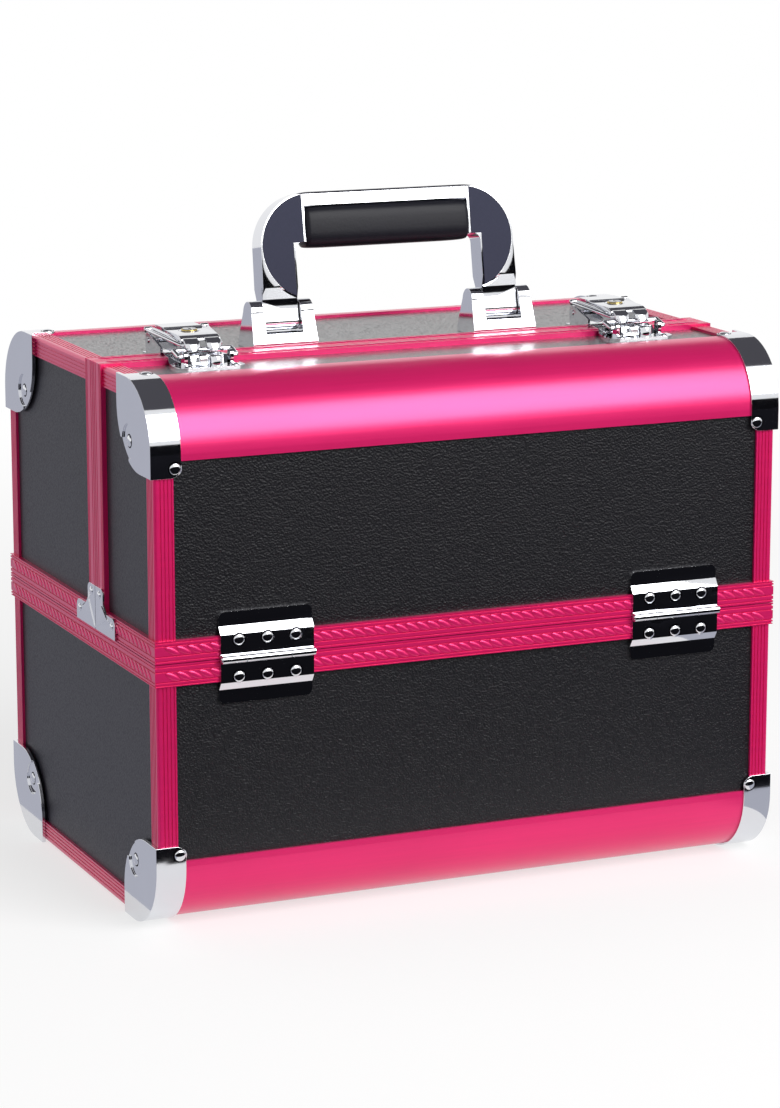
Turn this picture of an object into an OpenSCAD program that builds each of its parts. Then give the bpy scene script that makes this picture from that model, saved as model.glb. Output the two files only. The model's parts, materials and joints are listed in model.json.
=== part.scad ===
// Split-top train case for make-up: an open base, two hinged half lids that lift
// four folding trays on parallel arms, a folding carrying handle and two key latches.
// Millimetres. Z is up, the front faces -Y and the origin is on the ground, under the
// middle of the case.

/* [Case] */
// Width over the seam rims
case_w = 320; // [260:1:400]
// Depth over the seam rims
case_d = 212; // [176:1:260]
// Height of the closed case without its handle
case_h = 257; // [236:1:320]
// Height of the seam between the base and the lids
seam_z = 129; // [100:1:150]
// Depth of the front lid
front_lid_d = 79; // [72:1:96]
// Gap between two closed rims
rim_gap = 0.4; // [0.3:0.1:0.8]

/* [Panels and profiles] */
// Thickness of the panels
panel_t = 5; // [4:0.5:6]
// Wall of the corner and edge profiles
profile_t = 1.4; // [1:0.1:2]
// Outer radius of the long rounded edges
edge_r = 31; // [24:1:36]
// Straight lips of the rounded edge profiles
edge_lip = 3; // [2:0.5:5]
// Visible width of the corner profiles
post_w = 9.5; // [8:0.5:12]
// Visible width of the rims along the seams
rim_h = 10.5; // [9:0.5:12]
// How far the rims stand out from the profiles
rim_proud = 1; // [0.6:0.1:1.5]
// Thickness of the flanges behind the panels
flange_t = 1.2; // [0.8:0.1:1.6]
// Clearance of a panel in its slot
slot_gap = 0.1; // [0.05:0.05:0.3]
// Depth of the decorative grooves
groove_d = 0.5; // [0.3:0.1:0.6]

/* [Corner caps and brackets] */
// Width of a cap's strip along the case
cap_w = 14; // [12:0.5:18]
// Length of a cap's strip down the front or rear face
cap_drop = 42.5; // [40:0.5:50]
// Length of a cap's leaf along the end face
cap_leaf = 44.5; // [40:0.5:50]
// Flat part of a cap on the top or the bottom
cap_flat = 6.5; // [6.5:0.5:10]
// Length of a seam bracket's wing
wing_l = 27; // [22:1:32]
// Height of a seam bracket
bracket_h = 21; // [18:1:26]
// Sheet thickness of the seam brackets
bracket_t = 0.9; // [0.7:0.1:1.2]
// Radius of the rivet heads
rivet_r = 3; // [2:0.1:3.2]

/* [Hinges] */
// Width of a hinge
hinge_w = 46; // [36:1:56]
// Distance of a hinge from the middle
hinge_x = 105.5; // [80:0.5:112]
// Height of a hinge leaf from its axis
leaf_h = 21.5; // [18:0.5:26]
// Thickness of the hinge leaves
leaf_t = 1.2; // [1:0.1:1.5]
// Radius of the hinge knuckles
knuckle_r = 2; // [1.8:0.1:2.1]
// Radius of the hinge pins
hinge_pin_r = 1.2; // [1:0.1:1.3]

/* [Latches] */
// Distance of a latch from the middle
latch_x = 112; // [95:1:118]
// Width of a latch lever
lever_w = 24; // [20:1:28]
// Height of a lever's top over the rims
lever_h = 11.5; // [11:0.5:13]
// Overhang of a lever past the seam
lever_over = 14.5; // [10:0.5:14.5]
// Radius of a lock cylinder
lock_r = 5; // [4:0.5:6]
// Radius of a lock's turning plug
plug_r = 3.2; // [2.4:0.2:3.4]
// Radius of the wire of a latch loop
wire_r = 1.1; // [0.8:0.1:1.3]

/* [Handle] */
// Distance of a handle bracket from the middle
bracket_x = 58; // [50:1:66]
// Width of a handle bracket
bracket_w = 34; // [32:1:38]
// Gap between the ears of a handle bracket
ear_gap = 19; // [16:1:20]
// Radius of the handle's pins
handle_pin_r = 1.6; // [1.2:0.1:2]
// Height of the handle over its pins
handle_h = 61; // [54:1:75]
// Half width of the handle
handle_half_w = 66.5; // [65:0.5:76]
// Thickness of the handle's arms
handle_t = 12; // [9:0.5:12]
// Half length of the grip
grip_half_l = 43; // [36:0.5:46]
// Height of the grip
grip_h = 19.5; // [16:0.5:22]
// Thickness of the grip
grip_t = 17; // [14:0.5:18]

/* [Trays] */
// Height of a tray
tray_h = 28; // [22:1:29]
// Wall of a tray
tray_t = 1.8; // [1.4:0.1:2.4]
// Gap between the front and rear trays
tray_mid_gap = 6.4; // [4:0.2:12]
// Distance of the trays from the hinge axis
tray_inset = 15; // [14.5:0.5:20]
// Height of the lower trays over the seam
lower_tray_z = 16; // [15:0.5:18]
// Drop of the upper trays under the top of the lids
upper_tray_drop = 31; // [30:0.5:36]
// Thickness of the tray arms
arm_t = 1.5; // [1.2:0.1:2]
// Half width of the tray arms
arm_r = 6; // [5:0.5:7]
// Radius of the tray pins
tray_pin_r = 2.4; // [2:0.1:3]
// Dividers across a tray
dividers = 3; // [1:1:5]

/* [Hidden] */
$fn = 48;
eps = 0.01;
far = 500;
run_gap = 0.05; // radial clearance of every pin that turns
fit_gap = 0.02; // radial clearance of every fixed pin
free_gap = 0.3; // clearance at the open pivots of the tray arms

half_w = case_w / 2;
half_d = case_d / 2;
lid_h = case_h - seam_z;
rear_lid_d = case_d - front_lid_d;
split_y = front_lid_d - half_d;
base_top = seam_z - rim_gap / 2;
lid_bottom = seam_z + rim_gap / 2;
panel_top = case_h - rim_proud - profile_t;

// Depths from the outer faces of the rims
skin = rim_proud + profile_t;
panel_in = skin + panel_t;
flange_at = panel_in + slot_gap;
flange_in = flange_at + flange_t;
core_in = flange_at + 0.5;
panel_end = core_in + slot_gap;
post_end = rim_proud + post_w;
edge_c = rim_proud + edge_r;
edge_end = edge_c + edge_lip;
edge_hold = 9;
web_t = 2;
rim_stop = web_t + slot_gap;
rim_band = [rim_h - 6.8, rim_h - 2.6]; // hatched band, from the seam
cap_t = rim_proud;
cap_swell = 0.8;
cap_dip_r = 8;
cap_cut = 24; // how wide the dished corner of a cap's end opens
cap_rivets = [[11, 38.2], [29.5, 29.5], [10.5, 34.8]]; // face strip, end leaf, top leaf

// Hinges
axis_out = 2.2;
leaf_gap = 0.4;
knuckle_clear = 0.2;
knuckle_step = 12;
leaf_slope = 4.2;
hinge_rivet_z = 8.7;
hinge_rivet_x = 14;

// Tray linkage, measured from a hinge axis: [inwards, up]
arm_shift = [34, -6];
lower_pin = [tray_inset + 14, lower_tray_z + 11];
upper_tray_z = lid_h - upper_tray_drop - tray_h;
upper_pin = [tray_inset + 34, upper_tray_z + 8];
tray_far = half_d + axis_out - tray_mid_gap / 2;
arm_out = half_w - flange_in - 0.6;
tray_out = arm_out - arm_t - 1;
tray_end_t = 3.4;
arm_waist = 2;
pin_depth = 2.5;

// Latches, measured from the seam on top of the rims: [backwards, up]
sheet = 1.2;
lever_pin = [18.5, 5];
lever_pin_r = 1.3;
lever_tail = 2;
lever_round = 4;
cheek_gap = 0.8;
loop_pin = [-24, 3.2];
loop_bar = [-17.2, 5];
loop_half_w = lever_w / 2 + 2.2;
striker_rivet = [11.5, 29.2];
latch_rivet_r = 2.4;
lock_low = 4.2;

// Handle
handle_y = -5;
handle_pin_z = case_h + 9.5;
foot_r = 4.2;
bar_h = 6.5;
bow_r = 26;
handle_lean = 10; // how far the raised handle rests backwards, in degrees
inlay_t = 0.6;
handle_top = handle_pin_z + handle_h;
bow_z = handle_top - bow_r;
grip_z = handle_top - bar_h - grip_h;

// ---------- placing ----------

module left_and_right() {
  children();
  mirror([1, 0, 0]) children();
}

module front_and_rear() {
  children();
  mirror([0, 1, 0]) children();
}

// From the outer face of the front or the rear inwards along +Y
module from_face(rear = false) {
  mirror([0, rear ? 1 : 0, 0]) translate([0, -half_d, 0]) children();
}

// From a hinge axis inwards along +Y and up along +Z
module from_axis(rear = false) {
  mirror([0, rear ? 1 : 0, 0]) translate([0, -half_d - axis_out, seam_z]) children();
}

// From the closed seam on top of the rims, at a latch
module at_latch(side) {
  translate([side * latch_x, split_y, case_h]) children();
}

// From an outer corner at the left end inwards, along +X, +Y and down from the top
module from_top_corner() {
  translate([-half_w, 0, case_h]) mirror([0, 0, 1]) children();
}

// Extrudes a (Y, Z) outline along +X
module along_x(len) {
  rotate([90, 0, 90]) linear_extrude(len) children();
}

// Extrudes an (X, Z) outline by len, centred on y = 0
module along_y(len) {
  rotate([90, 0, 0]) linear_extrude(len, center = true) children();
}

module rod_x(r, len) {
  rotate([0, 90, 0]) cylinder(r = r, h = len, center = true);
}

// ---------- outlines ----------

// A straight bar from a to b
module bar2d(a, b, w) {
  d = b - a;
  translate(a) rotate(atan2(d[1], d[0])) translate([0, -w / 2]) square([norm(d), w]);
}

// A rectangle from the origin whose far corner is rounded
module tongue2d(w, h, r) {
  difference() {
    square([w, h]);
    translate([w - r, h - r]) difference() {
      square(r + eps);
      circle(r);
    }
  }
}

module rounded2d(w, h, r) {
  translate([r, 0]) square([w - 2 * r, h]);
  translate([0, r]) square([w, h - 2 * r]);
  for (x = [r, w - r], y = [r, h - r]) translate([x, y]) circle(r);
}

// The quarter ring of a rounded edge, in its own corner
module edge_band2d(outer, inner) {
  intersection() {
    translate([edge_c, edge_c]) difference() {
      circle(outer, $fn = 96);
      circle(inner, $fn = 96);
    }
    square(edge_c);
  }
}

// The part of a corner that lies outside a rounded edge of radius r
module edge_waste2d(r) {
  difference() {
    translate([-eps, -eps]) square(edge_c + eps);
    translate([edge_c, edge_c]) circle(r, $fn = 96);
  }
}

// Corner profile: two outer legs, a screw channel and two inner flanges
module post2d() {
  difference() {
    union() {
      for (m = [0, 1]) mirror([m, -m]) {
        translate([rim_proud, rim_proud]) square([post_w, profile_t]);
        translate([flange_at, flange_at]) square([post_end - flange_at, flange_t]);
      }
      translate([rim_proud, rim_proud]) square(core_in - rim_proud);
    }
    translate([(skin + core_in) / 2, (skin + core_in) / 2]) circle(1.8);
    translate([rim_proud, rim_proud]) difference() {
      translate([-eps, -eps]) square(1.5);
      translate([1.5, 1.5]) circle(1.5);
    }
    for (m = [0, 1], g = [2.6, 4.4, 6.2, 8]) mirror([m, -m])
      translate([rim_proud + g, rim_proud - eps]) square([0.7, groove_d - 0.1]);
  }
}

// Rounded edge profile: the outer skin
module edge_skin2d() {
  edge_band2d(edge_r, edge_r - profile_t);
  for (m = [0, 1]) mirror([m, -m])
    translate([rim_proud, edge_c]) square([profile_t, edge_lip]);
}

// Rounded edge profile: the slots that hold two panels
module edge_slots2d() {
  for (m = [0, 1]) mirror([m, -m]) translate([0, edge_c - profile_t]) {
    translate([skin - 0.2, 0]) square([flange_in - skin + 0.2, flange_t]);
    translate([flange_at, 0]) square([flange_t, edge_hold]);
  }
}

// Rim section: [depth from the outer face, distance from the seam]
module rim2d() {
  difference() {
    union() {
      square([skin, rim_h]);
      square([flange_in, web_t]);
      translate([flange_at, 0]) square([flange_t, rim_h]);
    }
    for (g = [0.8, rim_band[0] - 0.7, rim_band[1], rim_h - 1.1])
      translate([-eps, g]) square([groove_d, 0.7]);
  }
}

// A rim along +X: depth along +Y, away from its seam along +Z
module rim_bar(len, mitre_start, mitre_end) {
  cut = flange_in + 2;
  difference() {
    along_x(len) rim2d();
    if (mitre_start) translate([0, 0, -1]) linear_extrude(rim_h + 2)
      polygon([[-1, -1], [cut, cut], [-1, cut]]);
    if (mitre_end) translate([len, 0, -1]) linear_extrude(rim_h + 2)
      polygon([[1, -1], [-cut, cut], [1, cut]]);
  }
}

// ---------- small parts ----------

// A domed rivet that points up, its shank in a sheet below z = 0
module rivet(t, r = rivet_r) {
  dome_r = r * 1.3;
  translate([0, 0, -t]) cylinder(r = r / 2 - fit_gap, h = t + eps);
  intersection() {
    translate([0, 0, -sqrt(dome_r * dome_r - r * r)]) sphere(dome_r);
    cylinder(r = r, h = dome_r);
  }
}

module rivet_hole(t, r = rivet_r) {
  translate([0, 0, -t - 1]) cylinder(r = r / 2, h = t + 2);
}

module facing_front() {
  rotate([90, 0, 0]) children();
}

module facing_left() {
  rotate([0, -90, 0]) children();
}

module cap_leaf2d() {
  difference() {
    tongue2d(cap_leaf, cap_drop, 30, $fn = 96);
    edge_waste2d(edge_c);
  }
}

// Corner cap in its own corner, with x, y and z inwards
module corner_cap(with_flat_rivet) {
  difference() {
    union() {
      along_x(cap_w) edge_band2d(edge_c, edge_c - cap_t);
      translate([0, cap_t, edge_c]) rotate([90, 0, 0])
        linear_extrude(cap_t) tongue2d(cap_w, cap_drop - edge_c, 5);
      translate([0, edge_c, 0]) linear_extrude(cap_t) tongue2d(cap_w, cap_flat, 3);
      along_x(cap_t) cap_leaf2d();
      translate([-cap_swell, 0, 0]) along_x(cap_swell + eps) difference() {
        cap_leaf2d();
        translate(cap_rivets[1]) circle(cap_dip_r);
        polygon([
          cap_rivets[1], [far, cap_rivets[1][1] - cap_cut], [far, far],
          [cap_rivets[1][0] - cap_cut, far]
        ]);
      }
    }
    translate([cap_rivets[0][0], 0, cap_rivets[0][1]]) facing_front() rivet_hole(cap_t);
    translate([0, cap_rivets[1][0], cap_rivets[1][1]]) facing_left() rivet_hole(cap_t);
    if (with_flat_rivet) translate([cap_rivets[2][0], cap_rivets[2][1], 0])
      rotate([180, 0, 0]) rivet_hole(cap_t);
  }
}

module cap_rivet_set(with_flat_rivet) {
  translate([cap_rivets[0][0], 0, cap_rivets[0][1]]) facing_front() rivet(cap_t);
  translate([0, cap_rivets[1][0], cap_rivets[1][1]]) facing_left() rivet(cap_t);
  if (with_flat_rivet) translate([cap_rivets[2][0], cap_rivets[2][1], 0])
    rotate([180, 0, 0]) rivet(cap_t);
}

// ---------- lids, drawn from their outer face inwards ----------

module lid_face_panel() {
  translate([-half_w + panel_end, skin, lid_bottom + rim_stop])
    cube([case_w - 2 * panel_end, panel_t, case_h - edge_c - lid_bottom - rim_stop]);
}

module lid_top_panel(lid_d) {
  translate([-half_w + panel_end, edge_c, case_h - panel_in])
    cube([case_w - 2 * panel_end, lid_d - rim_gap / 2 - rim_stop - edge_c, panel_t]);
}

module lid_side_panels(lid_d) {
  low = lid_bottom + rim_stop;
  left_and_right() translate([-half_w + skin, 0, 0]) along_x(panel_t) difference() {
    translate([panel_end, low])
      square([lid_d - rim_gap / 2 - rim_stop - panel_end, case_h - panel_end - low]);
    translate([0, case_h]) mirror([0, 1]) edge_waste2d(edge_r - profile_t - slot_gap);
  }
}

module edge_profile() {
  skin_l = case_w - 2 * rim_proud;
  slot_l = case_w - 2 * (post_end + slot_gap);
  translate([-skin_l / 2, 0, 0]) along_x(skin_l) edge_skin2d();
  translate([-slot_l / 2, 0, 0]) along_x(slot_l) edge_slots2d();
}

module lid_corner_profiles(lid_d) {
  low = lid_bottom + rim_h;
  left_and_right() {
    translate([-half_w, 0, low]) linear_extrude(case_h - edge_end - low) post2d();
    translate([-half_w, edge_end, case_h]) rotate([-90, 0, 0])
      linear_extrude(lid_d - rim_gap / 2 - rim_h - edge_end) post2d();
  }
}

module lid_lower_rim(lid_d) {
  translate([-half_w, 0, lid_bottom]) rim_bar(case_w, true, true);
  left_and_right() translate([half_w, 0, lid_bottom]) rotate(90)
    rim_bar(lid_d - rim_gap / 2 - rim_h, true, false);
}

module lid_seam_rim(lid_d) {
  seam = lid_d - rim_gap / 2;
  left_and_right() translate([half_w, seam, lid_bottom]) rotate([0, -90, 90])
    rim_bar(case_h - lid_bottom, false, true);
  translate([half_w, seam, case_h]) rotate([90, 180, 0]) rim_bar(case_w, true, true);
}

module lid_corner_caps() {
  left_and_right() from_top_corner() corner_cap(true);
}

// Outline of a seam bracket: [distance from the seam, height over the rim's edge]
module seam_bracket2d() {
  tongue2d(rim_h, bracket_h, 3);
  tongue2d(wing_l, rim_h - 0.5, 4);
  polygon([[rim_h, rim_h - 1], [rim_h + 3.5, rim_h - 1], [rim_h, rim_h + 3]]);
}

module at_seam_bracket(lid_d) {
  translate([-half_w, lid_d - rim_gap / 2, lid_bottom]) mirror([0, 1, 0]) children();
}

bracket_rivets = [[rim_h / 2, bracket_h - 3.5], [wing_l - 4.5, rim_h / 2 + 0.6]];

module lid_seam_brackets(lid_d) {
  left_and_right() at_seam_bracket(lid_d) difference() {
    union() {
      translate([-bracket_t, 0, 0]) along_x(bracket_t) seam_bracket2d();
      translate([-bracket_t - 0.4, 0, 0]) along_x(0.5)
        polygon([[0.4, 1], [rim_h - 1.5, bracket_h - 8], [rim_h + 6, rim_h - 2.5]]);
    }
    for (p = bracket_rivets)
      translate([-bracket_t, p[0], p[1]]) facing_left() rivet_hole(bracket_t, 1.9);
  }
}

module lid_rivets(lid_d) {
  left_and_right() {
    from_top_corner() cap_rivet_set(true);
    at_seam_bracket(lid_d) for (p = bracket_rivets)
      translate([-bracket_t, p[0], p[1]]) facing_left() rivet(bracket_t, 1.9);
    for (x = [-1, 0, 1])
      translate([hinge_x + x * hinge_rivet_x, -leaf_t, seam_z + hinge_rivet_z])
        facing_front() rivet(leaf_t);
  }
}

// ---------- hinges, drawn from the seam of a face outwards ----------

// Section of an upper leaf, over the rim and down a slope to the panel: [outwards, up]
module leaf2d() {
  bend = rim_h + rim_gap / 2;
  foot = bend + leaf_slope;
  polygon([
    [0, leaf_gap], [leaf_t, leaf_gap], [leaf_t, bend + 0.6], [leaf_t - skin, foot],
    [leaf_t - skin, leaf_h], [-skin, leaf_h], [-skin, foot - 0.6], [0, bend]
  ]);
}

module hinge_leaf(middle) {
  outer_l = (hinge_w - 2 * knuckle_step) / 2;
  starts = middle ? [-outer_l] : [-hinge_w / 2, outer_l];
  len = middle ? 2 * outer_l : knuckle_step;
  other_starts = middle ? [-hinge_w / 2, outer_l] : [-outer_l];
  other_len = middle ? knuckle_step : 2 * outer_l;
  difference() {
    union() {
      intersection() {
        translate([-hinge_w / 2, 0, 0]) mirror([0, 1, 0]) along_x(hinge_w) leaf2d();
        translate([-hinge_w / 2, 0, leaf_h]) mirror([0, 0, 1]) rotate([90, 0, 0])
          linear_extrude(far, center = true) {
            rounded2d(hinge_w, leaf_h, 3);
            translate([0, 4]) square([hinge_w, leaf_h - 4]);
          }
      }
      for (x = starts) translate([x + len / 2, -axis_out, 0])
        rod_x(knuckle_r, len - 0.3);
    }
    for (x = other_starts) translate([x + other_len / 2, -axis_out, 0])
      rod_x(knuckle_r + knuckle_clear, other_len + 0.02);
    translate([0, -axis_out, 0]) rod_x(hinge_pin_r + (middle ? run_gap : fit_gap), far);
    for (x = [-1, 0, 1]) translate([x * hinge_rivet_x, -leaf_t, hinge_rivet_z])
      facing_front() rivet_hole(leaf_t);
  }
}

module at_hinges() {
  left_and_right() translate([hinge_x, 0, seam_z]) children();
}

// ---------- trays and arms, drawn from a hinge axis ----------

module tray(low, lid_pin) {
  w = 2 * tray_out;
  d = tray_far - tray_inset;
  cell_l = (w - 2 * tray_end_t - dividers * tray_t) / (dividers + 1);
  arm_pin = lid_pin + arm_shift;
  difference() {
    translate([-tray_out, tray_inset, low]) linear_extrude(tray_h) rounded2d(w, d, 4);
    for (i = [0 : dividers])
      translate([-tray_out + tray_end_t + i * (cell_l + tray_t), tray_inset + tray_t, low + tray_t])
        linear_extrude(tray_h) rounded2d(cell_l, d - 2 * tray_t, 3);
    left_and_right() {
      translate([tray_out, lid_pin[0], lid_pin[1]])
        rod_x(tray_pin_r + run_gap, 2 * pin_depth + 0.4);
      translate([tray_out, arm_pin[0], arm_pin[1]])
        rod_x(tray_pin_r + free_gap, 2 * pin_depth + 0.4);
    }
  }
}

// A lid's pins, each with a round foot on the side panel
module tray_pins() {
  tip = tray_out - pin_depth;
  wall = half_w - panel_in;
  left_and_right() for (p = [lower_pin, upper_pin]) translate([0, p[0], p[1]]) {
    translate([(tip + wall) / 2, 0, 0]) rod_x(tray_pin_r, wall - tip);
    translate([wall - 0.6, 0, 0]) rod_x(5, 1.2);
  }
}

module tray_arms() {
  lower = lower_pin + arm_shift;
  upper = upper_pin + arm_shift;
  tip = tray_out - pin_depth;
  left_and_right() {
    difference() {
      translate([arm_out - arm_t, 0, 0]) along_x(arm_t) {
        for (p = [arm_shift, lower, upper]) translate(p) circle(arm_r);
        bar2d(arm_shift, lower, 2 * arm_r - arm_waist);
        bar2d(lower, upper, 2 * arm_r - arm_waist);
      }
      translate([arm_out, arm_shift[0], arm_shift[1]]) rod_x(tray_pin_r + run_gap, 4 * arm_t);
    }
    for (p = [lower, upper]) translate([(tip + arm_out) / 2, p[0], p[1]])
      rod_x(tray_pin_r, arm_out - tip);
  }
}

// A pivot on the flange of the base's rim, with a collar outside and a head inside
module arm_pivots() {
  inner = arm_out - arm_t;
  left_and_right() translate([0, arm_shift[0], arm_shift[1]]) {
    translate([(inner - 0.6 + half_w - flange_in) / 2, 0, 0])
      rod_x(tray_pin_r, half_w - flange_in - inner + 0.6);
    translate([half_w - flange_in - 0.2, 0, 0]) rod_x(4, 0.4);
    translate([inner - 0.75, 0, 0]) rod_x(4, 1.2);
  }
}

// ---------- latches, drawn from the seam on top of the rims ----------

// A stepped plate: on the rim near the seam, on the panel beyond it
module stepped_plate2d(near, reach) {
  edge = rim_gap / 2 + rim_h + 0.3;
  polygon([
    [near, 0], [edge, 0], [edge + 2, -skin], [reach, -skin],
    [reach, sheet - skin], [edge + 2.5, sheet - skin], [edge + 0.5, sheet], [near, sheet]
  ]);
}

module latch_striker() {
  near = 1.5;
  reach = 32;
  mirror([0, 1, 0]) difference() {
    union() {
      intersection() {
        translate([-far / 2, 0, 0]) along_x(far) stepped_plate2d(near, reach);
        translate([0, 0, -far / 2]) linear_extrude(far) difference() {
          polygon([[-13, near], [13, near], [17, reach - 9], [17, reach], [-17, reach], [-17, reach - 9]]);
          for (m = [0, 1]) mirror([m, 0]) translate([17 - 5, reach - 5]) difference() {
            square(6);
            circle(5);
          }
        }
      }
      // ears that carry the loop
      left_and_right() translate([loop_half_w - 3.6, 0, 0]) along_x(1.6) {
        translate([-loop_pin[0], loop_pin[1]]) circle(2.3);
        translate([-loop_pin[0] - 2.3, sheet - skin - eps]) square([4.6, loop_pin[1] + skin - sheet]);
      }
      // keeper under the loop's bar
      translate([-8, 0, 0]) along_x(16)
        polygon([[18.8, sheet - skin - eps], [24, sheet - skin - eps], [23, 3], [19.6, 4]]);
    }
    translate([0, -loop_pin[0], loop_pin[1]]) rod_x(wire_r + run_gap, far);
    for (x = [-1, 1]) translate([x * striker_rivet[0], striker_rivet[1], sheet - skin])
      rivet_hole(sheet, latch_rivet_r);
  }
}

module latch_loop() {
  len = norm(loop_bar - loop_pin);
  tilt = atan2(loop_bar[1] - loop_pin[1], loop_bar[0] - loop_pin[0]);
  translate([0, loop_pin[0], loop_pin[1]]) rotate([tilt, 0, 0]) {
    left_and_right() {
      translate([loop_half_w, 0, 0]) rotate([-90, 0, 0]) cylinder(r = wire_r, h = len);
      translate([loop_half_w, 0, 0]) sphere(wire_r);
      translate([loop_half_w, len, 0]) sphere(wire_r);
      translate([loop_half_w - 1.9, 0, 0]) rod_x(wire_r, 3.8);
    }
    translate([0, len, 0]) rod_x(wire_r, 2 * loop_half_w);
  }
}

module latch_base() {
  near = 1.4;
  reach = 26;
  outer = lever_w / 2 + cheek_gap + sheet;
  difference() {
    union() {
      translate([-outer, 0, 0]) along_x(2 * outer) stepped_plate2d(near, reach);
      left_and_right() translate([outer - sheet, 0, 0]) along_x(sheet) {
        translate(lever_pin) circle(3.6);
        polygon([
          [near, sheet / 2], [near, 4], [lever_pin[0] - 0.8, lever_pin[1] + 3.5],
          [lever_pin[0] + 3.6, lever_pin[1]], [lever_pin[0] + 3, sheet - skin - 0.2],
          [14, sheet - skin - 0.2], [11.3, sheet / 2]
        ]);
      }
      translate([0, lever_pin[0], lever_pin[1]]) rod_x(lever_pin_r, 2 * outer + 1);
    }
    for (x = [-1, 1]) translate([x * 8, reach - 3.5, sheet - skin]) rivet_hole(sheet, 2);
  }
}

module latch_lever() {
  half = lever_w / 2;
  tail = lever_pin[0] + lever_tail;
  difference() {
    union() {
      translate([-half, -lever_over, lever_h - sheet]) linear_extrude(sheet)
        difference() {
          square([lever_w, lever_over + tail]);
          for (m = [0, 1]) translate([half, 0]) mirror([m, 0])
            translate([half - lever_round, lever_round]) difference() {
              translate([0, -lever_round - 1]) square(lever_round + 1);
              circle(lever_round);
            }
        }
      left_and_right() translate([half - sheet, 0, 0]) along_x(sheet) {
        translate(lever_pin) circle(2.9);
        polygon([
          [lever_round - lever_over, lever_h - sheet / 2], [tail, lever_h - sheet / 2],
          [lever_pin[0] + 2.9, lever_pin[1]], [lever_pin[0], lever_pin[1] - 2.9],
          [0.5, 1.9], [lever_round - lever_over, 0.64 * (lever_over - lever_round) + 1.9]
        ]);
      }
    }
    translate([0, 0, -1]) cylinder(r = lock_r + fit_gap, h = 30);
    translate([0, lever_pin[0], lever_pin[1]]) rod_x(lever_pin_r + run_gap, far);
  }
}

module lock_cylinder() {
  difference() {
    union() {
      translate([0, 0, lock_low]) cylinder(r = lock_r, h = lever_h + 0.8 - lock_low);
      translate([0, 0, lever_h]) cylinder(r1 = lock_r + 1.2, r2 = lock_r + 0.6, h = 0.8);
    }
    translate([0, 0, lock_low - 1]) cylinder(r = plug_r + run_gap, h = 20);
  }
}

module lock_plug() {
  cam_low = lock_low - 1.3;
  difference() {
    union() {
      translate([0, 0, cam_low]) cylinder(r = plug_r, h = lever_h + 1 - cam_low);
      translate([0, 0, cam_low]) linear_extrude(1.2) {
        bar2d([0, 0], [0, 5], 4.4);
        translate([0, 5]) circle(2.4);
      }
    }
    translate([-0.5, -2.2, lever_h - 1.5]) cube([1, 4.4, 4]);
  }
}

// ---------- handle ----------

// Front outline of a bracket from its own middle: [x, height over the panel]
module bracket_front2d() {
  top = handle_pin_z + 10.5 - panel_top;
  gap_low = handle_pin_z - foot_r - 0.3 - panel_top;
  difference() {
    polygon([
      [-bracket_w / 2, 0], [bracket_w / 2, 0], [bracket_w / 2 - 1.2, top],
      [1.2 - bracket_w / 2, top]
    ]);
    translate([-ear_gap / 2, gap_low]) square([ear_gap, top]);
  }
}

// Side outline of a bracket: [y from the pin, height over the panel]
module bracket_side2d() {
  round_z = handle_pin_z + 5 - panel_top;
  translate([0, round_z]) circle(5.5);
  polygon([[-10, 0], [10, 0], [10, 3], [5.5, round_z], [-5.5, round_z], [-10, 3]]);
}

module handle_bracket() {
  translate([0, handle_y, panel_top]) difference() {
    intersection() {
      along_y(40) bracket_front2d();
      translate([-bracket_w / 2, 0, 0]) along_x(bracket_w) bracket_side2d();
    }
    translate([0, 0, handle_pin_z - panel_top]) rod_x(handle_pin_r + fit_gap, bracket_w - 5);
  }
}

// Front outline of the handle: arms, bows and the bar over the grip
module handle_front2d() {
  foot_out = bracket_x + ear_gap / 2 - 0.4;
  foot_in = bracket_x - ear_gap / 2 + 0.4;
  difference() {
    union() {
      for (m = [0, 1]) mirror([m, 0]) {
        translate([handle_half_w - bow_r, bow_z]) circle(bow_r, $fn = 96);
        polygon([
          [foot_in, handle_pin_z - foot_r - 1], [foot_out, handle_pin_z - foot_r - 1],
          [foot_out, handle_pin_z + 9], [handle_half_w, bow_z], [foot_in, bow_z]
        ]);
      }
      translate([bow_r - handle_half_w, handle_top - bow_r])
        square([2 * (handle_half_w - bow_r), bow_r]);
    }
    translate([-grip_half_l, grip_z - 10]) square([2 * grip_half_l, grip_h + 10]);
    translate([-foot_in, 0]) square([2 * foot_in, grip_z - 2]);
    for (m = [0, 1]) mirror([m, 0]) translate([foot_in - 4.4, grip_z - 2.1]) circle(4.4);
  }
}

// Side outline of the handle: thin at the pins, full above the brackets
module handle_side2d() {
  full = handle_t / 2;
  neck = min(3.8, full);
  translate([0, handle_pin_z]) circle(foot_r);
  polygon([
    [-neck, handle_pin_z], [neck, handle_pin_z], [neck, handle_pin_z + 10.5],
    [full, handle_pin_z + 16], [full, handle_top - 1], [full - 1, handle_top + 1],
    [1 - full, handle_top + 1], [-full, handle_top - 1], [-full, handle_pin_z + 16],
    [-neck, handle_pin_z + 10.5]
  ]);
}

// Inlay of a bow: a disc cut by the arm's inner edge
module inlay2d(gap) {
  foot_in = bracket_x - ear_gap / 2 + 0.4;
  difference() {
    translate([handle_half_w - bow_r, bow_z]) circle(bow_r - 0.8 - gap, $fn = 96);
    translate([0, 0]) square([grip_half_l + 1.2 + gap, far]);
    translate([0, 0]) square([foot_in + 0.8 + gap, grip_z + 2 + gap]);
  }
}

module leaned() {
  translate([0, handle_y, handle_pin_z]) rotate([-handle_lean, 0, 0])
    translate([0, -handle_y, -handle_pin_z]) children();
}

module at_inlays() {
  left_and_right() translate([0, handle_y, 0]) front_and_rear()
    translate([0, handle_t / 2 - inlay_t / 2, 0]) children();
}

// ---------- nodes of the base ----------

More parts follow.
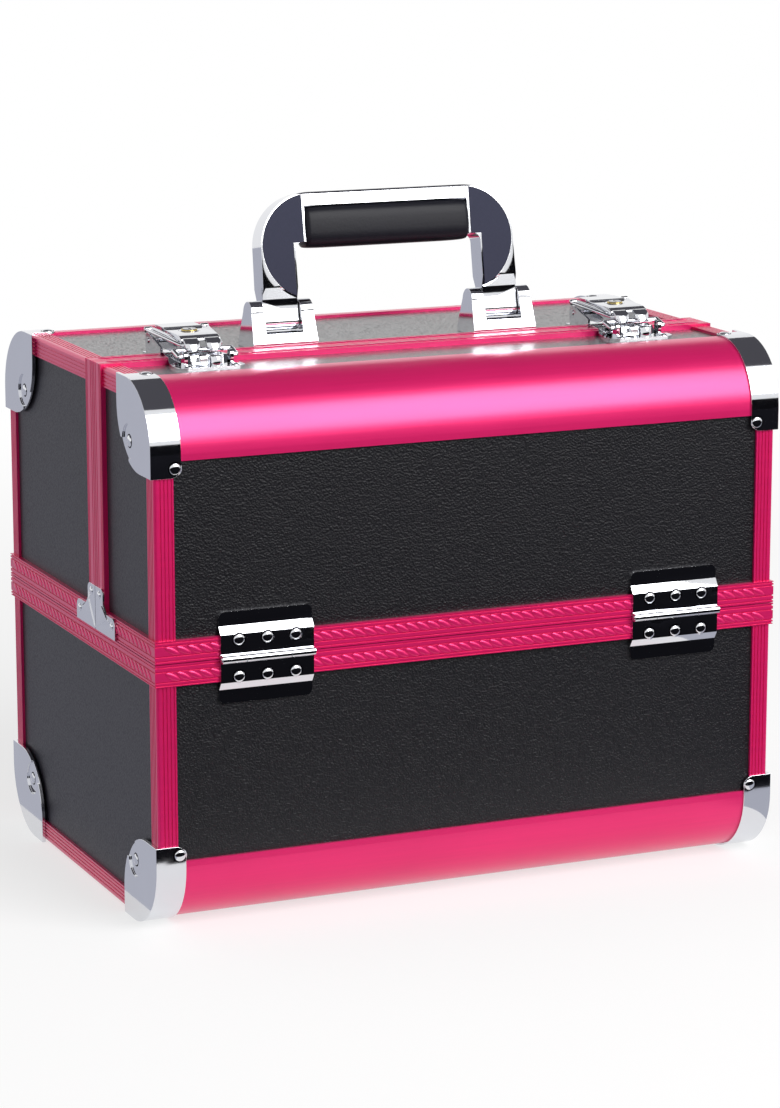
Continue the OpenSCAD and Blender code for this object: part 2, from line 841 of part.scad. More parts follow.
module base_front_panel() {
  color("#232226") from_face()
    translate([-half_w + panel_end, skin, edge_c])
      cube([case_w - 2 * panel_end, panel_t, base_top - rim_stop - edge_c]);
}

module base_rear_panel() {
  mirror([0, 1, 0]) base_front_panel();
}

module base_side_panels() {
  color("#33323a") left_and_right() from_face()
    translate([-half_w + skin, 0, 0]) along_x(panel_t) difference() {
      translate([panel_end, panel_end])
        square([case_d - 2 * panel_end, base_top - rim_stop - panel_end]);
      edge_waste2d(edge_r - profile_t - slot_gap);
      translate([case_d, 0]) mirror([1, 0]) edge_waste2d(edge_r - profile_t - slot_gap);
    }
}

module base_bottom_panel() {
  color("#232226") translate([-half_w + panel_end, edge_c - half_d, skin])
    cube([case_w - 2 * panel_end, case_d - 2 * edge_c, panel_t]);
}

module base_edge_profiles() {
  color("#e0146c") front_and_rear() from_face() edge_profile();
}

module base_corner_profiles() {
  run = case_d - 2 * edge_end;
  color("#d81a66") left_and_right() {
    front_and_rear() from_face() translate([-half_w, 0, edge_end])
      linear_extrude(base_top - rim_h - edge_end) post2d();
    translate([-half_w, run / 2, 0]) rotate([90, 0, 0]) linear_extrude(run) post2d();
  }
}

module base_rim() {
  color("#f0508c") front_and_rear() from_face() {
    translate([-half_w, 0, base_top]) mirror([0, 0, 1]) rim_bar(case_w, true, true);
  }
  color("#f0508c") left_and_right() translate([half_w, -half_d, base_top])
    mirror([0, 0, 1]) rotate(90) rim_bar(case_d, true, true);
}

module base_corner_caps() {
  color("#c8c9cf") left_and_right() front_and_rear() from_face()
    translate([-half_w, 0, 0]) corner_cap(false);
}

module base_rivets() {
  color("#dcdde2") left_and_right() front_and_rear() from_face() {
    translate([-half_w, 0, 0]) cap_rivet_set(false);
    for (x = [-1, 0, 1])
      translate([hinge_x + x * hinge_rivet_x, -leaf_t, seam_z - hinge_rivet_z])
        facing_front() rivet(leaf_t);
  }
}

module base_floor_pad() {
  pad_w = case_w - 2 * (post_end + 0.5);
  pad_d = case_d - 2 * (edge_c + edge_hold);
  color("#2b2a2f") translate([-pad_w / 2, -pad_d / 2, panel_in])
    linear_extrude(2) rounded2d(pad_w, pad_d, 3);
}

module hinge_lower_leaves() {
  color("#c8c9cf") front_and_rear() from_face() at_hinges()
    mirror([0, 0, 1]) hinge_leaf(false);
}

module hinge_pins() {
  color("#aeb0b6") front_and_rear() from_face() at_hinges()
    translate([0, -axis_out, 0]) rod_x(hinge_pin_r, hinge_w + 0.6);
}

module tray_arm_pivots() {
  color("#c8c9cf") {
    from_axis() arm_pivots();
    from_axis(rear = true) arm_pivots();
  }
}

// ---------- nodes of the front lid ----------

module front_lid_front_panel() {
  color("#232226") from_face() lid_face_panel();
}

module front_lid_top_panel() {
  color("#2c2b30") from_face() lid_top_panel(front_lid_d);
}

module front_lid_side_panels() {
  color("#33323a") from_face() lid_side_panels(front_lid_d);
}

module front_lid_edge_profile() {
  color("#e0146c") from_face() translate([0, 0, case_h]) mirror([0, 0, 1]) edge_profile();
}

module front_lid_corner_profiles() {
  color("#d81a66") from_face() lid_corner_profiles(front_lid_d);
}

module front_lid_lower_rim() {
  color("#f0508c") from_face() lid_lower_rim(front_lid_d);
}

module front_lid_seam_rim() {
  color("#f0508c") from_face() lid_seam_rim(front_lid_d);
}

module front_lid_corner_caps() {
  color("#c8c9cf") from_face() lid_corner_caps();
}

module front_lid_seam_brackets() {
  color("#c8c9cf") from_face() lid_seam_brackets(front_lid_d);
}

module front_lid_rivets() {
  color("#dcdde2") {
    from_face() lid_rivets(front_lid_d);
    for (s = [-1, 1], x = [-1, 1]) at_latch(s)
      translate([x * striker_rivet[0], -striker_rivet[1], sheet - skin])
        rivet(sheet, latch_rivet_r);
  }
}

module front_hinge_upper_leaves() {
  color("#c8c9cf") from_face() at_hinges() hinge_leaf(true);
}

module front_tray_pins() {
  color("#aeb0b6") from_axis() tray_pins();
}

module latch_strikers() {
  color("#c8c9cf") for (s = [-1, 1]) at_latch(s) latch_striker();
}

// ---------- nodes of the rear lid ----------

module rear_lid_rear_panel() {
  color("#232226") from_face(rear = true) lid_face_panel();
}

module rear_lid_top_panel() {
  color("#2c2b30") from_face(rear = true) lid_top_panel(rear_lid_d);
}

module rear_lid_side_panels() {
  color("#33323a") from_face(rear = true) lid_side_panels(rear_lid_d);
}

module rear_lid_edge_profile() {
  color("#e0146c") from_face(rear = true)
    translate([0, 0, case_h]) mirror([0, 0, 1]) edge_profile();
}

module rear_lid_corner_profiles() {
  color("#d81a66") from_face(rear = true) lid_corner_profiles(rear_lid_d);
}

module rear_lid_lower_rim() {
  color("#f0508c") from_face(rear = true) lid_lower_rim(rear_lid_d);
}

module rear_lid_seam_rim() {
  color("#f0508c") from_face(rear = true) lid_seam_rim(rear_lid_d);
}

module rear_lid_corner_caps() {
  color("#c8c9cf") from_face(rear = true) lid_corner_caps();
}

module rear_lid_seam_brackets() {
  color("#c8c9cf") from_face(rear = true) lid_seam_brackets(rear_lid_d);
}

module rear_lid_rivets() {
  color("#dcdde2") {
    from_face(rear = true) lid_rivets(rear_lid_d);
    for (s = [-1, 1], x = [-1, 1]) at_latch(s)
      translate([x * 8, 22.5, sheet - skin]) rivet(sheet, 2);
  }
}

module rear_hinge_upper_leaves() {
  color("#c8c9cf") from_face(rear = true) at_hinges() hinge_leaf(true);
}

module rear_tray_pins() {
  color("#aeb0b6") from_axis(rear = true) tray_pins();
}

module latch_bases() {
  color("#c8c9cf") for (s = [-1, 1]) at_latch(s) latch_base();
}

module handle_brackets() {
  color("#d4d5da") left_and_right() translate([bracket_x, 0, 0]) handle_bracket();
}

module handle_pins() {
  color("#aeb0b6") left_and_right() translate([bracket_x, handle_y, handle_pin_z])
    rod_x(handle_pin_r, bracket_w - 5.4);
}

// ---------- nodes that move by themselves ----------

module latch_lever_left() {
  color("#d4d5da") at_latch(-1) latch_lever();
}

module latch_lever_right() {
  color("#d4d5da") at_latch(1) latch_lever();
}

module lock_cylinder_left() {
  color("#d9b54a") at_latch(-1) lock_cylinder();
}

module lock_cylinder_right() {
  color("#d9b54a") at_latch(1) lock_cylinder();
}

module lock_plug_left() {
  color("#cfd0d4") at_latch(-1) lock_plug();
}

module lock_plug_right() {
  color("#cfd0d4") at_latch(1) lock_plug();
}

module latch_loop_left() {
  color("#c0c1c7") at_latch(-1) latch_loop();
}

module latch_loop_right() {
  color("#c0c1c7") at_latch(1) latch_loop();
}

module handle_frame() {
  color("#d4d5da") leaned() difference() {
    intersection() {
      translate([0, handle_y, 0]) along_y(60) handle_front2d();
      translate([-far / 2, handle_y, 0]) along_x(far) handle_side2d();
    }
    left_and_right() translate([bracket_x, handle_y, handle_pin_z])
      rod_x(handle_pin_r + run_gap, ear_gap + 2);
    at_inlays() along_y(inlay_t + 2 * eps) inlay2d(0);
  }
}

module handle_inserts() {
  color("#34364c") leaned() at_inlays() along_y(inlay_t) inlay2d(0.05);
}

module handle_grip() {
  color("#1d1c20") leaned() translate([-grip_half_l, handle_y - grip_t / 2, grip_z])
    along_x(2 * grip_half_l) rounded2d(grip_t, grip_h, 6);
}

module front_tray_arms() {
  color("#b6b8be") from_axis() tray_arms();
}

module rear_tray_arms() {
  color("#b6b8be") from_axis(rear = true) tray_arms();
}

module front_lower_tray() {
  color("#3a3a40") from_axis() tray(lower_tray_z, lower_pin);
}

module front_upper_tray() {
  color("#3a3a40") from_axis() tray(upper_tray_z, upper_pin);
}

module rear_lower_tray() {
  color("#3a3a40") from_axis(rear = true) tray(lower_tray_z, lower_pin);
}

module rear_upper_tray() {
  color("#3a3a40") from_axis(rear = true) tray(upper_tray_z, upper_pin);
}

base_front_panel();
base_rear_panel();
base_side_panels();
base_bottom_panel();
base_edge_profiles();
base_corner_profiles();
base_rim();
base_corner_caps();
base_rivets();
base_floor_pad();
hinge_lower_leaves();
hinge_pins();
tray_arm_pivots();
front_lid_front_panel();
front_lid_top_panel();
front_lid_side_panels();
front_lid_edge_profile();
front_lid_corner_profiles();
front_lid_lower_rim();
front_lid_seam_rim();
front_lid_corner_caps();
front_lid_seam_brackets();
front_lid_rivets();
front_hinge_upper_leaves();
front_tray_pins();
latch_strikers();
rear_lid_rear_panel();
rear_lid_top_panel();
rear_lid_side_panels();
rear_lid_edge_profile();
rear_lid_corner_profiles();
rear_lid_lower_rim();
rear_lid_seam_rim();
rear_lid_corner_caps();
rear_lid_seam_brackets();
rear_lid_rivets();
rear_hinge_upper_leaves();
rear_tray_pins();
latch_bases();
handle_brackets();
handle_pins();
latch_lever_left();
latch_lever_right();
lock_cylinder_left();
lock_cylinder_right();
lock_plug_left();
lock_plug_right();
latch_loop_left();
latch_loop_right();
handle_frame();
handle_grip();
handle_inserts();
front_tray_arms();
rear_tray_arms();
front_lower_tray();
front_upper_tray();
rear_lower_tray();
rear_upper_tray();
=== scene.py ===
# Looks for a split-top train case: finishes, rounded chrome, rivets, hatched rims, mats, grip and latches.
import json
import math
import bmesh
import bpy
from mathutils import Matrix, Vector


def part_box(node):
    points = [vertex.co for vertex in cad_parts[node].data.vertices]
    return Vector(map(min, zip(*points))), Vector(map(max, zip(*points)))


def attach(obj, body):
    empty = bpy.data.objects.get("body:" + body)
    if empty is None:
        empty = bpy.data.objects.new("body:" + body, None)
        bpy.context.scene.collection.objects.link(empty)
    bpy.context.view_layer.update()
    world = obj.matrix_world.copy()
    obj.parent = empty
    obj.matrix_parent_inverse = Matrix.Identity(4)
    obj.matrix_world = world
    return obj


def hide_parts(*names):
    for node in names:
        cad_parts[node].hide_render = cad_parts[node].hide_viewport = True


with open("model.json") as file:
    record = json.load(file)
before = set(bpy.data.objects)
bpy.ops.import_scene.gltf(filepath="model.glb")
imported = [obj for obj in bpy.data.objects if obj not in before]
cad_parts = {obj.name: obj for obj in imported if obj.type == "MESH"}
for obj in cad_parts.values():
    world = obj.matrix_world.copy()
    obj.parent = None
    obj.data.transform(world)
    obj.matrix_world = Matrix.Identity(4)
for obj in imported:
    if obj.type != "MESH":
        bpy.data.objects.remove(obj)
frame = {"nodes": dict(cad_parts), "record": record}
nodes = frame["nodes"]
record = frame["record"]
bodyOf = {node: body for body, names in record["behaviour"]["bodies"].items() for node in names}
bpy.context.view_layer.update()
print("frame loaded:", len(nodes), "nodes")


class Wire:  # a shader socket that takes part in sums
    def __init__(self, finish, socket):
        self.finish = finish
        self.socket = socket

    def maths(self, operation, first, second=0.0):
        return self.finish.node("ShaderNodeMath", {"operation": operation}, {0: first, 1: second})

    def __add__(self, other):
        return self.maths("ADD", self, other)

    def __rsub__(self, other):
        return self.maths("SUBTRACT", other, self)

    def __mul__(self, other):
        return self.maths("MULTIPLY", self, other)

    __radd__ = __add__
    __rmul__ = __mul__


class Finish:  # one material and the nodes that make it
    def __init__(self, name, **surface):
        self.material = bpy.data.materials.new(name)
        self.material.use_nodes = True
        self.tree = self.material.node_tree
        self.tree.nodes.clear()
        self.output = self.tree.nodes.new("ShaderNodeOutputMaterial")
        self.shader = self.tree.nodes.new("ShaderNodeBsdfPrincipled")
        self.tree.links.new(self.shader.outputs[0], self.output.inputs["Surface"])
        for socket, value in surface.items():
            self.set(socket, value)

    def set(self, socket, value):
        self.plug(self.shader.inputs[socket], value)

    def plug(self, target, value):
        if isinstance(value, Wire):
            self.tree.links.new(value.socket, target)
        elif target.type == "RGBA":
            target.default_value = (*value[:3], 1.0)
        else:
            target.default_value = value

    def node(self, kind, settings=None, sockets=None, output=0):
        made = self.tree.nodes.new(kind)
        for name, value in (settings or {}).items():
            setattr(made, name, value)
        for name, value in (sockets or {}).items():
            self.plug(made.inputs[name], value)
        return Wire(self, made.outputs[output])

    def place(self, stretch=(1, 1, 1)):  # object coordinates, stretched along an axis
        coordinates = self.node("ShaderNodeTexCoord", output="Object")
        return self.node("ShaderNodeMapping", sockets={"Vector": coordinates, "Scale": stretch})

    def noise(self, scale, detail=2.0, stretch=(1, 1, 1)):
        return self.node("ShaderNodeTexNoise",
                         sockets={"Vector": self.place(stretch), "Scale": scale, "Detail": detail})

    def cells(self, scale, feature="F1", randomness=1.0):
        return self.node("ShaderNodeTexVoronoi", {"feature": feature},
                         {"Vector": self.place(), "Scale": scale, "Randomness": randomness})

    def between(self, low, high, mask):  # a colour that changes with a mask
        return self.node("ShaderNodeMix", {"data_type": "RGBA"},
                         {0: mask, 6: low, 7: high}, output=2)

    def bump(self, height, strength, distance):
        self.set("Normal", self.node("ShaderNodeBump", sockets={
            "Height": height, "Strength": strength, "Distance": distance}))


def tint(colour, share):
    return tuple(min(1.0, channel * share) for channel in colour)


def anodised(name, colour, stretch):
    metal = {"grain": 900.0, "cloud": 18.0, "roughness": 0.28, "spread": 0.12, "darker": 0.86,
             "lighter": 1.1, "cloudShare": 0.6, "grainShare": 0.4, "relief": 0.05, "reliefDepth": 0.0002}
    finish = Finish(name, **{"Metallic": 0.45, "Specular IOR Level": 0.2, "Coat Weight": 0.55,
                             "Coat Roughness": 0.26, "Coat IOR": 1.6})
    streaks = finish.noise(metal["grain"], 3.0, stretch)
    clouds = finish.noise(metal["cloud"], 2.0)
    mottling = clouds * metal["cloudShare"] + streaks * metal["grainShare"]
    finish.set("Base Color", finish.between(tint(colour, metal["darker"]), tint(colour, metal["lighter"]),
                                            mottling))
    finish.set("Roughness", metal["roughness"] + streaks * metal["spread"])
    finish.bump(streaks, metal["relief"], metal["reliefDepth"])
    return finish.material


def pebbled(name, colour, worn, depth, gloss, varnish, coatIor=1.5):
    grain = {"cell": 1150.0, "crease": 2600.0, "roughness": 0.34, "spread": 0.25, "dip": 1.3,
             "creaseShare": 0.25, "wear": 0.9, "coatMost": 1.25, "coatFall": 1.5, "reliefDepth": 0.0004}
    finish = Finish(name, **{"Specular IOR Level": gloss, "Coat Roughness": 0.24, "Coat IOR": coatIor})
    pebbles = finish.cells(grain["cell"], "SMOOTH_F1", 0.95)
    creases = finish.noise(grain["crease"], 2.0)
    height = 1.0 - pebbles * grain["dip"] + creases * grain["creaseShare"]
    finish.set("Base Color", finish.between(colour, worn, pebbles * grain["wear"]))
    finish.set("Roughness", grain["roughness"] + pebbles * grain["spread"])
    finish.set("Coat Weight", varnish * (grain["coatMost"] - pebbles * grain["coatFall"]))
    finish.bump(height, depth, grain["reliefDepth"])
    return finish.material


def polished(name, colour, roughness, smudges):
    plating = {"film": 60.0, "dulled": 0.95, "relief": 0.02, "reliefDepth": 0.0002}
    finish = Finish(name, Metallic=1.0)
    film = finish.noise(plating["film"], 4.0)
    finish.set("Base Color", finish.between(tint(colour, plating["dulled"]), colour, film))
    finish.set("Roughness", roughness + film * smudges)
    finish.bump(film, plating["relief"], plating["reliefDepth"])
    return finish.material


def moulded(name, colour, roughness, depth, cell=1500.0, gloss=0.5):
    plastic = {"darker": 0.8, "lighter": 1.2, "spread": 0.12, "reliefDepth": 0.00015}
    finish = Finish(name, **{"Specular IOR Level": gloss})
    spark = finish.noise(cell, 3.0)
    finish.set("Base Color", finish.between(tint(colour, plastic["darker"]),
                                            tint(colour, plastic["lighter"]), spark))
    finish.set("Roughness", roughness + spark * plastic["spread"])
    finish.bump(spark, depth, plastic["reliefDepth"])
    return finish.material


def felted(name, colour, fleck):
    felt = {"fibre": 2600.0, "patch": 45.0, "fibreShare": 0.7, "patchShare": 0.3, "roughness": 0.85,
            "spread": 0.1, "relief": 0.5, "reliefDepth": 0.0004}
    finish = Finish(name, **{"Sheen Weight": 0.35, "Sheen Roughness": 0.6})
    fibres = finish.noise(felt["fibre"], 4.0)
    patches = finish.noise(felt["patch"], 2.0)
    flecks = fibres * felt["fibreShare"] + patches * felt["patchShare"]
    finish.set("Base Color", finish.between(colour, fleck, flecks))
    finish.set("Roughness", felt["roughness"] + fibres * felt["spread"])
    finish.bump(fibres, felt["relief"], felt["reliefDepth"])
    return finish.material


hotPink = (0.84, 0.012, 0.16)
finishes = {
    "anodised_pink": anodised("anodisedPink", hotPink, (0.02, 1, 1)),
    "panel_black": pebbled("pebbledBlack", (0.0030, 0.0028, 0.0046), (0.010, 0.0094, 0.0135),
                           depth=0.8, gloss=0.3, varnish=0.62),
    "panel_side": pebbled("pebbledSide", (0.020, 0.0185, 0.027), (0.030, 0.028, 0.040),
                          depth=0.12, gloss=0.3, varnish=0.1),
    "chrome": polished("chrome", (0.755, 0.765, 0.80), roughness=0.04, smudges=0.05),
    "steel": polished("plainSteel", (0.60, 0.61, 0.63), roughness=0.24, smudges=0.12),
    "brass": polished("gildedRing", (0.60, 0.46, 0.16), roughness=0.16, smudges=0.08),
    "insert": moulded("navyInsert", (0.030, 0.033, 0.062), roughness=0.34, depth=0.04, gloss=0.12),
    "grip": moulded("gripSkin", (0.010, 0.010, 0.015), roughness=0.32, depth=0.25, cell=900.0, gloss=0.18),
    "lining": felted("blackFelt", (0.006, 0.006, 0.007), fleck=(0.030, 0.030, 0.034)),
    "tray": moulded("trayPlastic", (0.022, 0.022, 0.026), roughness=0.42, depth=0.15),
}
slotOf = {part["node"]: part["material_slot"] for part in record["subparts"]}
for name, item in nodes.items():
    item.data.materials.clear()
    item.data.materials.append(finishes[slotOf[name]])
# painted light: the lids' top panels get a lit copy of the black pebbled finish. It has a lighter base colour
# and a stronger coat, so the tops read lighter where light falls on them.
litTopPanelCopy = pebbled("pebbledTop", (0.0050, 0.0048, 0.0064), (0.012, 0.0115, 0.0155),
                    depth=0.4, gloss=0.9, varnish=1.0, coatIor=2.2)
for node in ("front_lid_top_panel", "rear_lid_top_panel"):
    nodes[node].data.materials[0] = litTopPanelCopy
print("finishes:", len(finishes), "and the lids' tops")


def addPiece(name, mesh, body, slot, replaced=()):
    mesh.name = name
    piece = bpy.data.objects.new(name, mesh)
    bpy.context.scene.collection.objects.link(piece)
    mesh.materials.clear()
    mesh.materials.append(finishes[slot])
    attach(piece, body)
    if replaced:
        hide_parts(*replaced)
    return piece


def mergedCopy(node):  # a CAD node's mesh with its triangles joined and its flat faces whole
    shape = bmesh.new()
    shape.from_mesh(nodes[node].data)
    bmesh.ops.remove_doubles(shape, verts=shape.verts, dist=2e-6)
    bmesh.ops.dissolve_limit(shape, angle_limit=math.radians(0.4), verts=shape.verts, edges=shape.edges)
    return shape


def smoothByAngle(mesh, degrees):
    mesh.polygons.foreach_set("use_smooth", [True] * len(mesh.polygons))
    mesh.set_sharp_from_angle(angle=math.radians(degrees))


def edged(piece, width, segments=2, angle=32):  # a bevel on the edges that are sharper than the angle
    smoothByAngle(piece.data, angle)
    bevel = piece.modifiers.new("edges", "BEVEL")
    bevel.width = width
    bevel.segments = segments
    bevel.limit_method = "ANGLE"
    bevel.angle_limit = math.radians(angle)
    bevel.harden_normals = True
    return bevel


def rounded(node, width):  # a CAD node with its edges broken
    shape = mergedCopy(node)
    mesh = bpy.data.meshes.new(node)
    shape.to_mesh(mesh)
    shape.free()
    piece = addPiece(node + ".rounded", mesh, bodyOf[node], slotOf[node], [node])
    edged(piece, width, segments=3).miter_outer = "MITER_ARC"


edgeWidths = {
    "base_corner_caps": 0.0004, "front_lid_corner_caps": 0.0004, "rear_lid_corner_caps": 0.0004,
    "front_lid_seam_brackets": 0.0003, "rear_lid_seam_brackets": 0.0003,
    "hinge_lower_leaves": 0.0005, "front_hinge_upper_leaves": 0.0005, "rear_hinge_upper_leaves": 0.0005,
    "latch_strikers": 0.0002, "latch_bases": 0.0002,
    "handle_brackets": 0.0008, "handle_frame": 0.0024, "handle_inserts": 0.0002,
    "lock_plug_left": 0.00015, "lock_plug_right": 0.00015,
}
for node, width in edgeWidths.items():
    rounded(node, width)
print("broken edges:", len(edgeWidths))


class Recipe:  # a geometry tree with named sizes
    def __init__(self, name):
        self.tree = bpy.data.node_groups.new(name, "GeometryNodeTree")
        self.tree.interface.new_socket("Geometry", in_out="INPUT", socket_type="NodeSocketGeometry")
        self.tree.interface.new_socket("Geometry", in_out="OUTPUT", socket_type="NodeSocketGeometry")
        self.start = self.tree.nodes.new("NodeGroupInput")
        self.end = self.tree.nodes.new("NodeGroupOutput")
        self.sockets = {}

    def size(self, name, kind="NodeSocketFloat"):
        socket = self.tree.interface.new_socket(name, in_out="INPUT", socket_type=kind)
        self.sockets[name] = socket.identifier
        return self.start.outputs[name]

    def node(self, kind, settings=None, sockets=None):
        made = self.tree.nodes.new(kind)
        for name, value in (settings or {}).items():
            setattr(made, name, value)
        for name, value in (sockets or {}).items():
            for one in value if isinstance(value, list) else [value]:
                if isinstance(one, bpy.types.NodeSocket):
                    self.tree.links.new(one, made.inputs[name])
                else:
                    made.inputs[name].default_value = one
        return made.outputs[0]

    def facing(self):  # turns an instance's Z along the points' own "facing" arrow
        arrow = self.node("GeometryNodeInputNamedAttribute", {"data_type": "FLOAT_VECTOR"},
                          {"Name": "facing"})
        return self.node("FunctionNodeAlignRotationToVector", {"axis": "Z"}, {"Vector": arrow})

    def close(self, geometry, material):
        solid = self.node("GeometryNodeRealizeInstances", sockets={"Geometry": geometry})
        smooth = self.node("GeometryNodeSetShadeSmooth", sockets={"Geometry": solid})
        painted = self.node("GeometryNodeSetMaterial", sockets={"Geometry": smooth, "Material": material})
        self.tree.links.new(painted, self.end.inputs["Geometry"])

    def grow(self, name, seeds, sizes, body, slot, replaced=()):  # seeds become one plain mesh
        holder = bpy.data.objects.new(name + "Seeds", seeds)
        bpy.context.scene.collection.objects.link(holder)
        modifier = holder.modifiers.new("recipe", "NODES")
        modifier.node_group = self.tree
        for key, value in sizes.items():
            modifier[self.sockets[key]] = value
        evaluated = holder.evaluated_get(bpy.context.evaluated_depsgraph_get())
        mesh = bpy.data.meshes.new_from_object(evaluated)
        holder.modifiers.clear()
        bpy.data.objects.remove(holder)
        return addPiece(name, mesh, body, slot, replaced)


def seedMesh(name, points, arrows, edges=(), **numbers):  # loose points that each know where they face
    mesh = bpy.data.meshes.new(name)
    mesh.from_pydata(points, edges, [])
    facing = mesh.attributes.new("facing", "FLOAT_VECTOR", "POINT")
    facing.data.foreach_set("vector", [part for arrow in arrows for part in arrow])
    for key, values in numbers.items():
        mesh.attributes.new(key, "FLOAT", "POINT").data.foreach_set("value", values)
    return mesh


def loosePieces(node):  # the points of each separate solid in a CAD node
    shape = mergedCopy(node)
    waiting = set(shape.verts)
    found = []
    while waiting:
        reached = {waiting.pop()}
        edge = list(reached)
        while edge:
            near = {link.other_vert(point) for point in edge for link in point.link_edges} - reached
            reached |= near
            edge = list(near)
        waiting -= reached
        found.append([point.co.copy() for point in reached])
    shape.free()
    return found


rivetHead = {"segments": 22, "rings": 12, "dome": 0.92, "flange": 1.1, "flangeTop": 0.98,
             "flangeRise": 0.22, "rimFrom": 0.97}  # shares of the radius, and of the rise


def rivetSeats(node):  # where each rivet's head starts, where it faces, its radius and its rise
    seats = []
    for points in loosePieces(node):
        low = [min(point[k] for point in points) for k in range(3)]
        high = [max(point[k] for point in points) for k in range(3)]
        middle = Vector([(a + b) / 2 for a, b in zip(low, high)])
        spans = [b - a for a, b in zip(low, high)]
        along = max(range(3), key=lambda k: min(abs(spans[k] - spans[j]) for j in range(3) if j != k))
        radius = max(spans[k] for k in range(3) if k != along) / 2
        axis = Vector([1.0 if k == along else 0.0 for k in range(3)])
        off = [(point - middle - axis * (point - middle)[along]).length for point in points]
        rim = [point[along] for point, away in zip(points, off) if away > radius * rivetHead["rimFrom"]]
        level = sum(rim) / len(rim)
        side = 1.0 if high[along] - level < level - low[along] else -1.0
        arrow = [side if k == along else 0.0 for k in range(3)]
        middle[along] = level
        rise = (high[along] - level) if side > 0 else (level - low[along])
        seats.append((tuple(middle), arrow, radius, rise))
    return seats


riveting = Recipe("rivetHeads")
flangeRadius = riveting.size("Flange radius")
flangeRise = riveting.size("Flange rise")
dome = riveting.node("GeometryNodeMeshUVSphere", sockets={
    "Segments": rivetHead["segments"], "Rings": rivetHead["rings"],
    "Radius": rivetHead["dome"]})
flange = riveting.node("GeometryNodeMeshCone", sockets={
    "Vertices": rivetHead["segments"], "Radius Top": rivetHead["flangeTop"], "Radius Bottom": flangeRadius,
    "Depth": flangeRise})
headShape = riveting.node("GeometryNodeJoinGeometry", sockets={"Geometry": [dome, flange]})
headRadius = riveting.node("GeometryNodeInputNamedAttribute", {"data_type": "FLOAT"}, {"Name": "radius"})
headRise = riveting.node("GeometryNodeInputNamedAttribute", {"data_type": "FLOAT"}, {"Name": "rise"})
headScale = riveting.node("ShaderNodeCombineXYZ", sockets={"X": headRadius, "Y": headRadius, "Z": headRise})
heads = riveting.node("GeometryNodeInstanceOnPoints", sockets={
    "Points": riveting.start.outputs["Geometry"], "Instance": headShape,
    "Rotation": riveting.facing(), "Scale": headScale})
riveting.close(heads, finishes["chrome"])
for node in ("base_rivets", "front_lid_rivets", "rear_lid_rivets"):
    seats = rivetSeats(node)
    seeds = seedMesh(node, [seat[0] for seat in seats], [seat[1] for seat in seats],
                     radius=[seat[2] for seat in seats], rise=[seat[3] for seat in seats])
    riveting.grow(node + ".heads", seeds, {"Flange radius": rivetHead["flange"],
                                           "Flange rise": rivetHead["flangeRise"]},
                  bodyOf[node], "chrome", [node])
    print(node, len(seats), "heads")

hatch = {"pitch": 0.0054, "length": 0.0084, "width": 0.0028, "height": 0.00045, "slant": math.radians(-29),
         "fromSeam": 0.0058, "cornerGap": 0.0085, "segments": 10, "rings": 6}
hatching = Recipe("hatchedBand")
pitch = hatching.size("Pitch")
ridgeSize = hatching.size("Ridge size", "NodeSocketVector")
slant = hatching.size("Slant")
curves = hatching.node("GeometryNodeMeshToCurve", sockets={"Mesh": hatching.start.outputs["Geometry"]})
steps = hatching.node("GeometryNodeCurveToPoints", {"mode": "LENGTH"}, {"Curve": curves, "Length": pitch})
tangent = steps.node.outputs["Tangent"]
upright = hatching.facing()
along = hatching.node("FunctionNodeAlignRotationToVector", {"axis": "X", "pivot_axis": "Z"},
                      {"Rotation": upright, "Vector": tangent})
turnBy = hatching.node("FunctionNodeAxisAngleToRotation", sockets={"Axis": (0, 0, 1), "Angle": slant})
slanted = hatching.node("FunctionNodeRotateRotation", {"rotation_space": "LOCAL"},
                        {"Rotation": along, "Rotate By": turnBy})
ridge = hatching.node("GeometryNodeMeshUVSphere", sockets={
    "Segments": hatch["segments"], "Rings": hatch["rings"], "Radius": 1.0})
ridges = hatching.node("GeometryNodeInstanceOnPoints", sockets={
    "Points": steps, "Instance": ridge, "Rotation": slanted, "Scale": ridgeSize})
hatching.close(ridges, finishes["anodised_pink"])


def bandLines(body):  # straight lines along the rims' bands, each with the way it faces
    gap = hatch["cornerGap"]
    rims = {"base": ["base_rim"], "front_lid": ["front_lid_lower_rim", "front_lid_seam_rim"],
            "rear_lid": ["rear_lid_lower_rim", "rear_lid_seam_rim"]}[body]
    found = []
    for rim in rims:
        low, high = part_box(rim)
        if rim.endswith("seam_rim"):
            y = high[1] - hatch["fromSeam"] if body == "front_lid" else low[1] + hatch["fromSeam"]
            found.append(((low[0] + gap, y, high[2]), (high[0] - gap, y, high[2]), (0, 0, 1)))
            continue
        z = high[2] - hatch["fromSeam"] if body == "base" else low[2] + hatch["fromSeam"]
        if body != "rear_lid":
            found.append(((low[0] + gap, low[1], z), (high[0] - gap, low[1], z), (0, -1, 0)))
        if body != "front_lid":
            found.append(((high[0] - gap, high[1], z), (low[0] + gap, high[1], z), (0, 1, 0)))
        found.append(((low[0], high[1] - gap, z), (low[0], low[1] + gap, z), (-1, 0, 0)))
        found.append(((high[0], low[1] + gap, z), (high[0], high[1] - gap, z), (1, 0, 0)))
    return found


for body in ("base", "front_lid", "rear_lid"):
    lines = bandLines(body)
    seeds = seedMesh(body + "Lines", [end for line in lines for end in line[:2]],
                     [line[2] for line in lines for end in (0, 1)],
                     [(2 * k, 2 * k + 1) for k in range(len(lines))])
    hatching.grow(body + ".hatch", seeds, {
        "Pitch": hatch["pitch"], "Slant": hatch["slant"],
        "Ridge size": (hatch["length"] / 2, hatch["width"] / 2, hatch["height"])}, body, "anodised_pink")
print("hatched bands made")


